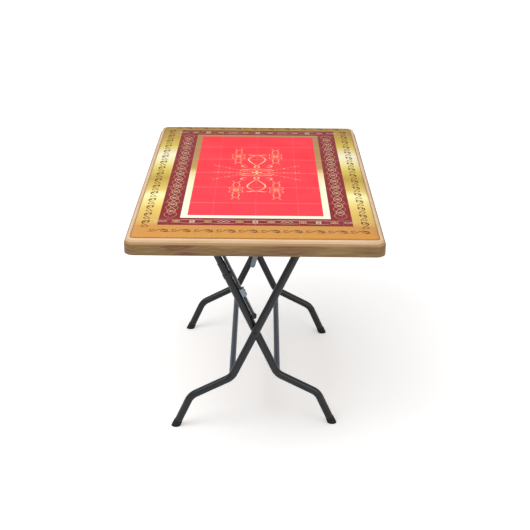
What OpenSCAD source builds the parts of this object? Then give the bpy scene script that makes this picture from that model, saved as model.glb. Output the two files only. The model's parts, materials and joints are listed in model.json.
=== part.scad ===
// Folding table: moulded board with a printed panel on two crossed tube frames.
// Millimetres. +Z up, X across the board, Y along it, origin on the floor under the centre.

/* [Board] */
// Width of the board, across the crossed legs
top_w = 740; // [700:5:900]
// Length of the board
top_l = 1200; // [1000:10:1440]
// Height of the board's face above the floor
top_z = 750; // [720:5:780]
// Radius of the board's corners
corner_r = 30; // [15:1:60]
// Height of the whole rim, face to skirt edge
rim_h = 54; // [50:1:70]
// Thickness of the moulded plate
plate_t = 3; // [3:1:10]
// Wall of the skirt
skirt_t = 4; // [3:0.5:8]
// Height of the plain skirt
skirt_h = 32; // [24:1:36]
// Height of the ribs under the plate
rib_h = 19; // [12:1:20]
// Thickness of one rib
rib_t = 3; // [2:0.5:5]
// Distance between ribs across the board
rib_pitch_x = 64; // [50:2:100]
// Distance between ribs along the board
rib_pitch_y = 75; // [50:5:100]

/* [Printed panel] */
// Border of the rim left around the panel
panel_inset = 20; // [16:1:30]
// Height over which the panel's edge rolls down
panel_t = 10; // [6:1:10]
// Width of the rolled edge
panel_roll = 24; // [12:1:40]

/* [Leg frames] */
// Outer diameter of the leg tube
tube_d = 25; // [22:0.5:32]
// Wall of the leg tube
tube_wall = 1.4; // [1:0.1:2]
// Centre of the outer frame's tubes from the middle, along Y
outer_y = 360; // [300:5:400]
// Space between crossing tubes
cross_gap = 2; // [1.5:0.5:5]
// Height of the crossing
cross_z = 336; // [320:1:380]
// Lean of the straight part from vertical
lean = 25; // [22:0.5:28]
// Length of straight tube below the crossing, to the inner bend
below_cross = 172; // [150:1:180]
// Half spread of the outer bends
outer_bend_x = 206; // [190:1:230]
// Height of the outer bends
outer_bend_z = 110; // [100:1:130]
// Lean of the foot part from vertical
foot_lean = 24.4; // [18:0.2:30]
// Radius of the bends on the tube's centre line
bend_r = 55; // [40:1:70]
// Radius of the elbows at the upper bars
elbow_r = 40; // [35:1:50]
// Diameter of the stretcher tubes
stretcher_d = 19; // [16:0.5:22]
// Wall of the stretcher and head tubes
thin_wall = 1.2; // [0.8:0.1:1.6]

/* [Head and catches] */
// Radial clearance of the head tube in the leg tube
head_fit = 0.1; // [0.05:0.05:0.2]
// Height at which the head tube leaves the leg tube
head_from_z = 566; // [540:5:620]
// Length of head tube inside the leg tube
head_insert = 60; // [40:5:90]
// Distance of the catches from the middle, along Y
catch_y = 200; // [120:5:260]
// Width of one catch, along Y
catch_w = 36; // [24:1:60]
// Thickness of a catch's flange, under the ribs
seat_t = 2.4; // [2:0.2:5]
// Thickness of the rubber pad under the flange
pad_t = 2.3; // [1.5:0.1:4]

/* [Hinge saddles] */
// Distance of the saddles from the middle, along Y
saddle_y = 230; // [120:5:270]
// Width of one saddle, along Y
saddle_w = 40; // [30:1:60]
// Thickness of the strap under the bar
strap_t = 3; // [2:0.5:5]

/* [Pivots and stays] */
// Diameter of the bolt at the crossing
bolt_d = 8; // [6:0.5:10]
// Radial clearance of a pin in its hole
pin_fit = 0.05; // [0.02:0.01:0.1]
// Gap between parts that move past each other
run_gap = 0.3; // [0.2:0.05:0.5]
// Length of the plate that hangs from the rear crossing
hang_l = 54; // [40:1:90]
// Height along the leg from the crossing to the stay's rivet
stay_from = 44; // [35:1:60]
// Height along the leg from the crossing to the stay's tip
stay_to = 336; // [280:1:340]
// Depth of the stay's channel section
stay_t = 8; // [6:0.5:8]
// Width of the stay's channel section
stay_w = 14; // [12:0.5:18]
// Wall of the stay's channel section
stay_wall = 1.5; // [1:0.1:2]
// Diameter of the stay's rivet
rivet_d = 6; // [4:0.5:6]
// Place of the stay's grip along the leg
grip_at = 135; // [110:1:160]
// Length of the grip
grip_l = 26; // [20:1:40]
// Place of the leg clip along the leg
clip_at = 200; // [180:1:220]
// Wall of the rubber foot caps
foot_wall = 1.5; // [1.5:0.5:5]
// Length of the rubber foot caps
foot_l = 18; // [16:1:45]
// Diameter of the screws' shanks
screw_d = 4; // [3:0.5:5]

/* [Hidden] */
$fn = 48;
tube_r = tube_d / 2;
foot_d = tube_d + 2 * foot_wall;
inner_y = outer_y - tube_d - cross_gap;
head_d = tube_d - 2 * tube_wall - 2 * head_fit;
head_r = head_d / 2;
skirt_z = top_z - rim_h;
plate_top = top_z - panel_t;
rib_top = plate_top - plate_t;
rib_z = rib_top - rib_h;
bar_z = rib_z - seat_t - pad_t - run_gap - head_r;
bar_s = (bar_z - cross_z) / cos(lean);
bar_x = (bar_z - cross_z) * tan(lean);
head_s = (head_from_z - cross_z) / cos(lean);
inner_bend = [below_cross * sin(lean), cross_z - below_cross * cos(lean)];
foot_floor_x = outer_bend_x + outer_bend_z * tan(foot_lean);
end_z = 8;
end_x = foot_floor_x - end_z * tan(foot_lean);
eye_r = stay_t - 1;
stay_x = tube_r + eye_r - 1;
stay_in = stay_x - stay_t / 2;
lug_w = stay_w - 2 * stay_wall - 2 * run_gap;
lug_r = 5.5;
screw_r = screw_d / 2;
screw_head = [[0, -2.4], [2.6, -2.2], [4, -1.2], [4.2, 0]];
screw_up = 10;
boss_r = 6;
catch_half = head_r + 6;
catch_flange = 20;
catch_screw_x = catch_half + catch_flange / 2;
catch_stop = head_r * 0.6;
pad_over = 4;
saddle_screw_x = tube_r + strap_t + 6;
saddle_half = saddle_screw_x + 7.5;
saddle_screw_y = saddle_w / 2 - 8;
bar_fit = 0.08;
bar_bore_r = tube_r + bar_fit;
bead_inset = 6;
lip_h = 3;
cap_fit = 0.1;
bolt_head = [[8, 0], [8, 1.5], [6, 3.6], [0, 4.6]];
bolt_over = 12;
nut_d = 15;
nut_h = 6.5;
hang_t = 2.8;
hang_r = 9;
hang_turn = 15;
spacer_d = 20;
clip_t = 1.5;
clip_h = 14;
rivet_head_h = 2;
grip_wall = 2.5;
grip_depth = 6;
dimple_r = 4;
sides = [-1, 1];
sides_n = 24;
bend_steps = 6;
elbow_steps = 9;

function unit(v) = v / norm(v);
function turned(v, a) = [v[0] * cos(a) - v[1] * sin(a), v[0] * sin(a) + v[1] * cos(a)];
function cross2(u, v) = u[0] * v[1] - u[1] * v[0];

// A station of a tube is [place, direction, side vector]
function flat_station(at, dir) = [[at[0], 0, at[1]], [dir[0], 0, dir[1]], [-dir[1], 0, dir[0]]];

// Stations round a bend of radius r at b, between the directions a-b and b-c
function bend_stations(a, b, c, r, steps) =
    let (u = unit(b - a), v = unit(c - b))
    let (angle = acos(u * v), way = sign(cross2(u, v)), n = way * turned(u, 90))
    let (centre = b - u * r * tan(angle / 2) + n * r)
    [for (i = [0 : steps])
        let (phi = way * angle * i / steps)
        flat_station(centre - turned(n, phi) * r, turned(u, phi))];

// Foot and the two bends of a leg that leans to +X at the top
function low_stations() =
    let (foot = [-end_x, end_z], outer = [-outer_bend_x, outer_bend_z])
    let (inner = [-inner_bend[0], inner_bend[1]], cross = [0, cross_z])
    concat([flat_station(foot, unit(outer - foot))],
           bend_stations(foot, outer, inner, bend_r, bend_steps),
           bend_stations(outer, inner, cross, bend_r, bend_steps));

function straight_end(s) =
    flat_station([s * sin(lean), cross_z + s * cos(lean)], [sin(lean), cos(lean)]);

// Elbow from the leg to the bar along Y, towards the middle
function elbow_stations(side_y) =
    [for (i = [0 : elbow_steps])
        let (phi = 90 * i / elbow_steps, y = -side_y * elbow_r * (1 - cos(phi)))
        let (s = bar_s - elbow_r + elbow_r * sin(phi))
        [[s * sin(lean), y, cross_z + s * cos(lean)],
         [cos(phi) * sin(lean), -side_y * sin(phi), cos(phi) * cos(lean)],
         [-cos(lean), 0, sin(lean)]]];

function ring_points(station, r) =
    let (n1 = station[2], n2 = cross(station[2], station[1]))
    [for (i = [0 : sides_n - 1])
        let (a = 360 * i / sides_n)
        station[0] + r * (cos(a) * n1 + sin(a) * n2)];

function quad(a, b, c, d) = [[a, b, c], [a, c, d]];

// Hollow bent tube through its stations; the flats of its bore lie on the nominal bore
module bent_tube(stations, d, wall) {
    n = sides_n;
    last = len(stations) - 1;
    bore_r = (d / 2 - wall) / cos(180 / n);
    points = [for (s = stations) each concat(ring_points(s, d / 2), ring_points(s, bore_r))];
    skins = [for (k = [0 : last - 1], i = [0 : n - 1])
        let (j = (i + 1) % n, o = 2 * n * k, p = 2 * n * (k + 1))
        each concat(quad(o + i, p + i, p + j, o + j),
                    quad(o + n + i, o + n + j, p + n + j, p + n + i))];
    ends = [for (i = [0 : n - 1])
        let (j = (i + 1) % n, p = 2 * n * last)
        each concat(quad(i, j, n + j, n + i), quad(p + i, p + n + i, p + n + j, p + j))];
    polyhedron(points, concat(skins, ends));
}

// Solid ring section at the inner bend, that a stretcher's end is shaped to
module inner_bend_body() {
    u = unit(inner_bend - [outer_bend_x, outer_bend_z]);
    v = unit([0, cross_z] - inner_bend);
    angle = acos(u * v);
    n = sign(cross2(u, v)) * turned(u, 90);
    centre = inner_bend - u * bend_r * tan(angle / 2) + n * bend_r;
    translate([centre[0], 0, centre[1]])
        rotate([90, 0, 0])
            rotate_extrude($fn = 96)
                translate([bend_r, 0])
                    circle(d = tube_d);
}

// Places children in the frame of a leg: origin at the crossing, Z up along the leg
module on_leg(side_y, y_at, tilt) {
    translate([0, side_y * y_at, cross_z])
        rotate([0, tilt, 0])
            children();
}

module rounded_plate(inset, z_low, z_high) {
    w = top_w - 2 * inset;
    l = top_l - 2 * inset;
    r = max(corner_r - inset, 6);
    translate([0, 0, z_low])
        linear_extrude(z_high - z_low)
            union() {
                square([w - 2 * r, l], center = true);
                square([w, l - 2 * r], center = true);
                for (sx = sides, sy = sides)
                    translate([sx * (w / 2 - r), sy * (l / 2 - r)])
                        circle(r = r);
            }
}

module saddle_places(side_y) {
    for (sx = sides, sy = sides)
        translate([bar_x + sx * saddle_screw_x, side_y * saddle_y + sy * saddle_screw_y, 0])
            children();
}

module catch_places(side_y) {
    for (sx = sides)
        translate([-bar_x + sx * catch_screw_x, side_y * catch_y, 0])
            children();
}

// Pan-head screw, head down at head_z, shank up into its boss
module screw(head_z) {
    tip = rib_z - head_z + screw_up;
    translate([0, 0, head_z])
        rotate_extrude()
            polygon(concat(screw_head, [[screw_r, 0], [screw_r, tip], [0, tip]]));
}

module top_shell() {
    bead_z = skirt_z + skirt_h;
    color("#8C6C48")
        difference() {
            union() {
                rounded_plate(0, skirt_z, bead_z);
                rounded_plate(bead_inset / 2, bead_z - 1, bead_z + 4);
                rounded_plate(bead_inset, bead_z - 1, plate_top);
                difference() {
                    rounded_plate(bead_inset + 2, plate_top - 1, plate_top + lip_h);
                    rounded_plate(panel_inset, plate_top, plate_top + 2 * lip_h);
                }
            }
            difference() {
                union() {
                    rounded_plate(skirt_t, skirt_z - 1, bead_z - skirt_t);
                    rounded_plate(bead_inset + skirt_t, skirt_z - 1, rib_top);
                }
                ribs();
                bosses();
            }
            screw_holes();
        }
}

module ribs() {
    nx = floor((top_w / 2 - skirt_t) / rib_pitch_x);
    ny = floor((top_l / 2 - skirt_t) / rib_pitch_y);
    for (i = [-nx : nx])
        translate([i * rib_pitch_x - rib_t / 2, -top_l / 2, rib_z])
            cube([rib_t, top_l, rib_h + 1]);
    for (j = [-ny : ny])
        translate([-top_w / 2, j * rib_pitch_y - rib_t / 2, rib_z])
            cube([top_w, rib_t, rib_h + 1]);
}

module boss() {
    translate([0, 0, rib_z])
        cylinder(r = boss_r, h = rib_h + 1);
}

module bosses() {
    for (side = sides) {
        saddle_places(side) boss();
        catch_places(side) boss();
    }
}

module screw_holes() {
    for (side = sides) {
        saddle_places(side) screw_hole();
        catch_places(side) screw_hole();
    }
}

module screw_hole() {
    translate([0, 0, rib_z - 1])
        cylinder(r = screw_r + pin_fit, h = screw_up + 1.5);
}

module printed_panel() {
    color("#FF4858")
        union() {
            rounded_plate(panel_inset, plate_top, top_z - panel_t * 0.6);
            rounded_plate(panel_inset + panel_roll * 0.35, plate_top, top_z - panel_t * 0.3);
            rounded_plate(panel_inset + panel_roll, plate_top, top_z);
        }
}

module hinge_saddle(side) {
    color("#23272C")
        difference() {
            translate([bar_x - saddle_half, side * saddle_y - saddle_w / 2, bar_z])
                cube([2 * saddle_half, saddle_w, rib_z - bar_z]);
            bar_bore(side);
            saddle_places(side)
                translate([0, 0, bar_z - 1])
                    cylinder(r = screw_r + pin_fit, h = rib_z - bar_z + 2);
        }
}

module bar_bore(side) {
    translate([bar_x, side * saddle_y, bar_z])
        rotate([90, 0, 0])
            cylinder(r = bar_bore_r, h = saddle_w + 2, center = true);
}

module saddle_strap(side) {
    color("#3A4048")
        difference() {
            union() {
                translate([bar_x - saddle_half, side * saddle_y - saddle_w / 2, bar_z - strap_t])
                    cube([2 * saddle_half, saddle_w, strap_t]);
                translate([bar_x, side * saddle_y, bar_z])
                    rotate([90, 0, 0])
                        cylinder(r = bar_bore_r + strap_t, h = saddle_w, center = true);
            }
            bar_bore(side);
            translate([bar_x - saddle_half, side * saddle_y - saddle_w, bar_z])
                cube([2 * saddle_half, 2 * saddle_w, 2 * tube_d]);
            saddle_places(side)
                translate([0, 0, bar_z - strap_t - 1])
                    cylinder(r = screw_r + pin_fit, h = strap_t + 2);
        }
}

module saddle_screws() {
    color("silver")
        for (side = sides)
            saddle_places(side) screw(bar_z - strap_t);
}

// Flanged seat with a stop wall on the outer side of the head bar
module catch_bracket(side) {
    low = bar_z + head_r + run_gap + pad_t;
    color("#5A6068")
        difference() {
            union() {
                translate([-bar_x - catch_half - catch_flange, side * catch_y - catch_w / 2, low])
                    cube([2 * (catch_half + catch_flange), catch_w, rib_z - low]);
                translate([-bar_x - catch_half, side * catch_y - catch_w / 2, bar_z - catch_stop])
                    cube([catch_half - head_r - run_gap, catch_w, low - bar_z + catch_stop + 0.01]);
            }
            catch_places(side)
                translate([0, 0, low - 1])
                    cylinder(r = screw_r + pin_fit, h = rib_z - low + 2);
        }
}

module catch_pads() {
    low = bar_z + head_r + run_gap;
    color("#141414")
        for (side = sides)
            translate([-bar_x - head_r, side * catch_y - catch_w / 2, low])
                cube([2 * head_r + pad_over, catch_w, pad_t]);
}

module catch_screws() {
    color("silver")
        for (side = sides)
            catch_places(side) screw(bar_z + head_r + run_gap + pad_t);
}

module cross_hole(side, y_at) {
    translate([0, side * y_at, cross_z])
        rotate([90, 0, 0])
            cylinder(r = bolt_d / 2 + pin_fit, h = 2 * tube_d, center = true);
}

// One leg of the outer frame with its elbow; it leans to +X at the top
module outer_leg(side) {
    color("#20242A")
        difference() {
            translate([0, side * outer_y, 0])
                bent_tube(concat(low_stations(), elbow_stations(side)), tube_d, tube_wall);
            cross_hole(side, outer_y);
        }
}

module tube_y(x, z, half, d, wall) {
    translate([x, 0, z])
        rotate([90, 0, 0])
            difference() {
                cylinder(d = d, h = 2 * half, center = true);
                cylinder(d = d - 2 * wall, h = 2 * half + 2, center = true);
            }
}

module outer_top_bar() {
    color("#20242A") tube_y(bar_x, bar_z, outer_y - elbow_r, tube_d, tube_wall);
}

module stretcher(side_x, y_at) {
    color("#4A5468")
        difference() {
            tube_y(side_x * inner_bend[0], inner_bend[1], y_at, stretcher_d, thin_wall);
            for (side = sides)
                translate([0, side * y_at, 0])
                    mirror([side_x > 0 ? 0 : 1, 0, 0])
                        inner_bend_body();
        }
}

module outer_stretcher() {
    stretcher(-1, outer_y);
}

module inner_stretcher() {
    stretcher(1, inner_y);
}

// Rubber cap on one foot end, cut flat at the floor
module foot_cap(side_x, y) {
    color("#101214")
        difference() {
            translate([side_x * foot_floor_x, y, 0])
                rotate([0, -side_x * foot_lean, 0])
                    translate([0, 0, -foot_d / 2])
                        cylinder(d = foot_d, h = foot_l + foot_d / 2);
            translate([side_x * foot_floor_x - foot_d, y - foot_d, -2 * foot_d])
                cube([2 * foot_d, 2 * foot_d, 2 * foot_d]);
            translate([side_x * end_x, y, end_z])
                rotate([0, -side_x * foot_lean, 0])
                    cylinder(d = tube_d + 2 * cap_fit, h = foot_l + foot_d);
        }
}

module outer_foot_caps() {
    for (side = sides) foot_cap(-1, side * outer_y);
}

module inner_foot_caps() {
    for (side = sides) foot_cap(1, side * inner_y);
}

// Bolt from the outer face of the outer tube through both tubes
module pivot_bolts() {
    head_y = outer_y + tube_r;
    tip_y = inner_y - tube_r - bolt_over;
    color("silver")
        for (side = sides)
            translate([0, side * head_y, cross_z])
                rotate([-side * 90, 0, 0])
                    rotate_extrude()
                        polygon(concat([[0, tip_y - head_y], [bolt_d / 2, tip_y - head_y],
                                        [bolt_d / 2, 0]], bolt_head));
}

module pivot_nuts() {
    nut_y = inner_y - tube_r - run_gap - hang_t;
    color("silver")
        for (side = sides)
            translate([0, side * nut_y, cross_z])
                rotate([side * 90, 0, 0])
                    difference() {
                        cylinder(d = nut_d, h = nut_h, $fn = 6);
                        translate([0, 0, -1]) cylinder(r = bolt_d / 2 + pin_fit, h = nut_h + 2);
                    }
}

module pivot_spacers() {
    t = cross_gap - run_gap;
    color("#D8D8D4")
        for (side = sides)
            translate([0, side * (outer_y - tube_r), cross_z])
                rotate([side * 90, 0, 0])
                    difference() {
                        cylinder(d = spacer_d, h = t);
                        translate([0, 0, -1]) cylinder(r = bolt_d / 2 + pin_fit, h = t + 2);
                    }
}

// Round-ended plate that hangs from the rear bolt, inside the inner tube
module pivot_plate_back() {
    color("#8A96A4")
        translate([0, inner_y - tube_r, cross_z])
            rotate([90, hang_turn, 0])
                difference() {
                    linear_extrude(hang_t)
                        union() {
                            circle(r = hang_r);
                            translate([0, -hang_l]) circle(r = hang_r);
                            translate([-hang_r, -hang_l]) square([2 * hang_r, hang_l]);
                        }
                    translate([0, 0, -1]) cylinder(r = bolt_d / 2 + pin_fit, h = hang_t + 2);
                }
}

// One leg of the inner frame; it leans to -X at the top and is open for the head tube
module inner_leg(side) {
    color("#20242A")
        difference() {
            translate([0, side * inner_y, 0])
                mirror([1, 0, 0])
                    bent_tube(concat(low_stations(), [straight_end(head_s)]), tube_d, tube_wall);
            cross_hole(side, inner_y);
        }
}

// Head tube with its elbow, sleeved in the open end of the inner leg
module head_arm(side) {
    low = head_s - head_insert;
    color("#2A3038")
        on_leg(side, inner_y, -lean)
            union() {
                translate([0, 0, low])
                    linear_extrude(bar_s - elbow_r - low)
                        head_ring();
                translate([0, -side * elbow_r, bar_s - elbow_r])
                    rotate([0, 90, 0])
                        rotate([0, 0, side > 0 ? 90 : 180])
                            rotate_extrude(angle = 90, $fn = 96)
                                translate([elbow_r, 0])
                                    head_ring();
            }
}

module head_ring() {
    difference() {
        circle(d = head_d);
        circle(d = head_d - 2 * thin_wall);
    }
}

module head_bar() {
    color("#2A3038") tube_y(-bar_x, bar_z, inner_y - elbow_r, head_d, thin_wall);
}

// Lug on the inner leg that the stay's rivet goes through
module stay_lugs() {
    color("#3A4048")
        for (side = sides)
            on_leg(side, inner_y, -lean)
                difference() {
                    union() {
                        translate([0, -lug_w / 2, stay_from - lug_r])
                            cube([stay_x, lug_w, 2 * lug_r]);
                        translate([stay_x, 0, stay_from])
                            rotate([90, 0, 0])
                                cylinder(r = lug_r, h = lug_w, center = true);
                    }
                    translate([0, 0, stay_from - 20]) cylinder(d = tube_d, h = 40);
                    translate([stay_x, 0, stay_from])
                        rotate([90, 0, 0])
                            cylinder(r = rivet_d / 2 + pin_fit, h = 2 * stay_w, center = true);
                }
}

// Spring clip round the leg with two prongs beside the stay
module stay_clips() {
    prong = stay_w / 2 + run_gap;
    color("#20242A")
        for (side = sides)
            on_leg(side, inner_y, -lean)
                translate([0, 0, clip_at])
                    difference() {
                        union() {
                            cylinder(r = tube_r + clip_t, h = clip_h);
                            for (s = sides)
                                translate([0, s > 0 ? prong : -prong - clip_t, 0])
                                    cube([stay_x + stay_t / 2, clip_t, clip_h]);
                        }
                        translate([0, 0, -1]) cylinder(d = tube_d + 2 * cap_fit, h = clip_h + 2);
                        translate([0, -prong, -1]) cube([4 * tube_r, 2 * prong, clip_h + 2]);
                    }
}

// Channel-section stay along the inner leg, with a round eye at its lower end
module lock_stay(side) {
    half = stay_w / 2;
    color("#20242A")
        on_leg(side, inner_y, -lean)
            difference() {
                union() {
                    translate([stay_x - stay_t / 2, -half, stay_from])
                        cube([stay_t, stay_w, stay_to - stay_from]);
                    translate([stay_x, 0, stay_from])
                        rotate([90, 0, 0])
                            cylinder(r = eye_r, h = stay_w, center = true);
                }
                translate([stay_in - tube_d, -half + stay_wall, stay_from - 2 * eye_r])
                    cube([stay_t + tube_d - stay_wall + 1, stay_w - 2 * stay_wall, stay_to]);
                translate([stay_in, -half + stay_wall, stay_from - 2 * eye_r])
                    cube([3 * stay_t, stay_w - 2 * stay_wall, 2 * eye_r + 13]);
                translate([stay_x, 0, stay_from])
                    rotate([90, 0, 0])
                        cylinder(r = rivet_d / 2 + pin_fit, h = 2 * stay_w, center = true);
            }
}

module stay_rivet(side) {
    color("silver")
        on_leg(side, inner_y, -lean)
            translate([stay_x, 0, stay_from])
                rotate([90, 0, 0])
                    union() {
                        cylinder(d = rivet_d, h = stay_w + 1, center = true);
                        for (s = sides)
                            translate([0, 0, s * (stay_w + rivet_head_h) / 2])
                                cylinder(d = rivet_d + 4, h = rivet_head_h, center = true);
                    }
}

// Moulded finger grip around the stay
module stay_grip(side) {
    half = stay_w / 2;
    color("#A4B4C4")
        on_leg(side, inner_y, -lean)
            difference() {
                translate([stay_x - stay_t / 2, -half - grip_wall, grip_at - grip_l / 2])
                    cube([stay_t + grip_depth, stay_w + 2 * grip_wall, grip_l]);
                translate([stay_x - stay_t / 2 - 1, -half, grip_at - grip_l])
                    cube([stay_t + 1, stay_w, 2 * grip_l]);
                for (s = sides)
                    translate([stay_x + stay_t / 2 + 2 * dimple_r, 0, grip_at + s * grip_l / 4])
                        rotate([90, 0, 0])
                            cylinder(r = dimple_r, h = 2 * stay_w, center = true);
            }
}

top_shell();
printed_panel();
hinge_saddle(-1);  // hinge_saddle_front
hinge_saddle(1);  // hinge_saddle_back
saddle_strap(-1);  // saddle_strap_front
saddle_strap(1);  // saddle_strap_back
saddle_screws();
catch_bracket(-1);  // catch_bracket_front
catch_bracket(1);  // catch_bracket_back
catch_pads();
catch_screws();
outer_leg(-1);  // outer_leg_front
outer_leg(1);  // outer_leg_back
outer_top_bar();
outer_stretcher();
outer_foot_caps();
pivot_bolts();
pivot_nuts();
pivot_spacers();
inner_leg(-1);  // inner_leg_front
inner_leg(1);  // inner_leg_back
head_arm(-1);  // head_arm_front
head_arm(1);  // head_arm_back
head_bar();
inner_stretcher();
inner_foot_caps();
stay_lugs();
stay_clips();
pivot_plate_back();
lock_stay(-1);  // lock_stay_front
stay_rivet(-1);  // stay_rivet_front
stay_grip(-1);  // stay_grip_front
lock_stay(1);  // lock_stay_back
stay_rivet(1);  // stay_rivet_back
stay_grip(1);  // stay_grip_back
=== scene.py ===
import json
import math
import bpy
from mathutils import Matrix, Vector


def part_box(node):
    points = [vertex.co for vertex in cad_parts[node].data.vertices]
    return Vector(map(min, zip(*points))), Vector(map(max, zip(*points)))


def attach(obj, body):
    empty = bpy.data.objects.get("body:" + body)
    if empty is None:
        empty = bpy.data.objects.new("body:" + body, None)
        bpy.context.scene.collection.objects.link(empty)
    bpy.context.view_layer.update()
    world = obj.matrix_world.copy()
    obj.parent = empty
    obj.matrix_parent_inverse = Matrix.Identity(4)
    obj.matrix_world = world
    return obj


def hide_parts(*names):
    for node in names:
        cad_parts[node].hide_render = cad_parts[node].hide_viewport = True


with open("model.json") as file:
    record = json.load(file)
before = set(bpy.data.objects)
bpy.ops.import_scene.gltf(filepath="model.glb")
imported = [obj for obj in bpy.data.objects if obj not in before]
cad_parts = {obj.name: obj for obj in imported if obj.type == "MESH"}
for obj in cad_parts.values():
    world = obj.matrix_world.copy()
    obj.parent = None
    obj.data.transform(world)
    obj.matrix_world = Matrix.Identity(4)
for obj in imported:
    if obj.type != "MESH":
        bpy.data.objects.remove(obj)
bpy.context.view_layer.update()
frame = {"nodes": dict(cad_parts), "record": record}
print("frame loaded")

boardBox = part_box("top_shell")
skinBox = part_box("printed_panel")
boardHalfX = boardBox[1][0]
boardHalfY = boardBox[1][1]
skinHalfX = skinBox[1][0]
skinHalfY = skinBox[1][1]
faceTop = skinBox[1][2]


def linearColour(text):
    parts = [int(text[i:i + 2], 16) / 255 for i in (0, 2, 4)]
    parts = [p / 12.92 if p < 0.04045 else ((p + 0.055) / 1.055) ** 2.4 for p in parts]
    return (*parts, 1.0)


# node helpers and the shader groups that several finishes share
def newGroup(name, inputs, outputs):
    group = bpy.data.node_groups.new(name, "ShaderNodeTree")
    for label, kind, value in inputs:
        socket = group.interface.new_socket(label, in_out="INPUT", socket_type=kind)
        if value is not None:
            socket.default_value = value
    for label, kind in outputs:
        group.interface.new_socket(label, in_out="OUTPUT", socket_type=kind)
    return group, group.nodes.new("NodeGroupInput"), group.nodes.new("NodeGroupOutput")


def addNode(tree, kind, **settings):
    node = tree.nodes.new(kind)
    for key, value in settings.items():
        setattr(node, key, value)
    return node


def mathNode(tree, operation, a, b=None):
    node = addNode(tree, "ShaderNodeMath", operation=operation)
    for slot, value in enumerate((a, b)):
        if value is None:
            continue
        if isinstance(value, (int, float)):
            node.inputs[slot].default_value = value
        else:
            tree.links.new(value, node.inputs[slot])
    return node.outputs[0]


def noiseNode(tree, vector, scale, detail=3.0):
    node = addNode(tree, "ShaderNodeTexNoise")
    tree.links.new(vector, node.inputs["Vector"])
    if isinstance(scale, (int, float)):
        node.inputs["Scale"].default_value = scale
    else:
        tree.links.new(scale, node.inputs["Scale"])
    node.inputs["Detail"].default_value = detail
    return node.outputs["Fac"]


def mixColour(tree, fac, a, b, blend="MIX"):
    node = addNode(tree, "ShaderNodeMix", data_type="RGBA", blend_type=blend)
    for socket, value in ((node.inputs[0], fac), (node.inputs[6], a), (node.inputs[7], b)):
        if isinstance(value, (int, float)):
            socket.default_value = value
        elif isinstance(value, tuple):
            socket.default_value = value
        else:
            tree.links.new(value, socket)
    return node.outputs[2]


def rampNode(tree, fac, stops):
    node = addNode(tree, "ShaderNodeValToRGB")
    ramp = node.color_ramp
    while len(ramp.elements) < len(stops):
        ramp.elements.new(0.5)
    for element, (at, colour) in zip(ramp.elements, stops):
        element.position = at
        element.color = colour
    tree.links.new(fac, node.inputs[0])
    return node.outputs[0]


def makeGrainGroup():
    group, inp, out = newGroup(
        "fineGrain",
        [("Vector", "NodeSocketVector", None), ("Scale", "NodeSocketFloat", 900.0),
         ("Strength", "NodeSocketFloat", 0.1), ("Distance", "NodeSocketFloat", 0.0003)],
        [("Normal", "NodeSocketVector")])
    grain = noiseNode(group, inp.outputs["Vector"], inp.outputs["Scale"], 4.0)
    bump = addNode(group, "ShaderNodeBump")
    group.links.new(grain, bump.inputs["Height"])
    group.links.new(inp.outputs["Strength"], bump.inputs["Strength"])
    group.links.new(inp.outputs["Distance"], bump.inputs["Distance"])
    group.links.new(bump.outputs[0], out.inputs["Normal"])
    return group


def makeHandlingGroup():
    group, inp, out = newGroup(
        "handlingWear",
        [("Vector", "NodeSocketVector", None), ("Scale", "NodeSocketFloat", 14.0),
         ("Low", "NodeSocketFloat", 0.3), ("High", "NodeSocketFloat", 0.5)],
        [("Roughness", "NodeSocketFloat"), ("Mask", "NodeSocketFloat")])
    broad = noiseNode(group, inp.outputs["Vector"], inp.outputs["Scale"], 5.0)
    spread = addNode(group, "ShaderNodeMapRange")
    spread.inputs["From Min"].default_value = 0.3
    spread.inputs["From Max"].default_value = 0.7
    group.links.new(broad, spread.inputs["Value"])
    group.links.new(inp.outputs["Low"], spread.inputs["To Min"])
    group.links.new(inp.outputs["High"], spread.inputs["To Max"])
    group.links.new(spread.outputs[0], out.inputs["Roughness"])
    group.links.new(broad, out.inputs["Mask"])
    return group


def makeRectGroup():
    group, inp, out = newGroup(
        "rectMask",
        [("Vector", "NodeSocketVector", None), ("Half X", "NodeSocketFloat", 0.2),
         ("Half Y", "NodeSocketFloat", 0.4)],
        [("Mask", "NodeSocketFloat")])
    split = addNode(group, "ShaderNodeSeparateXYZ")
    group.links.new(inp.outputs["Vector"], split.inputs[0])
    awayX = mathNode(group, "ABSOLUTE", split.outputs[0])
    awayY = mathNode(group, "ABSOLUTE", split.outputs[1])
    inX = mathNode(group, "LESS_THAN", awayX, inp.outputs["Half X"])
    inY = mathNode(group, "LESS_THAN", awayY, inp.outputs["Half Y"])
    group.links.new(mathNode(group, "MULTIPLY", inX, inY), out.inputs["Mask"])
    return group


fineGrain = makeGrainGroup()
handlingWear = makeHandlingGroup()
rectMask = makeRectGroup()


def newMaterial(name, metallic=0.0, specular=0.5, coat=0.0, coatRoughness=0.1):
    material = bpy.data.materials.new(name)
    material.use_nodes = True
    tree = material.node_tree
    shader = tree.nodes["Principled BSDF"]
    shader.inputs["Metallic"].default_value = metallic
    shader.inputs["Specular IOR Level"].default_value = specular
    shader.inputs["Coat Weight"].default_value = coat
    shader.inputs["Coat Roughness"].default_value = coatRoughness
    place = addNode(tree, "ShaderNodeTexCoord").outputs["Object"]
    return material, tree, shader, place


def placeGroup(tree, group, place, **values):
    node = addNode(tree, "ShaderNodeGroup", node_tree=group)
    tree.links.new(place, node.inputs["Vector"])
    for key, value in values.items():
        node.inputs[key.replace("_", " ")].default_value = value
    return node


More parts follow.
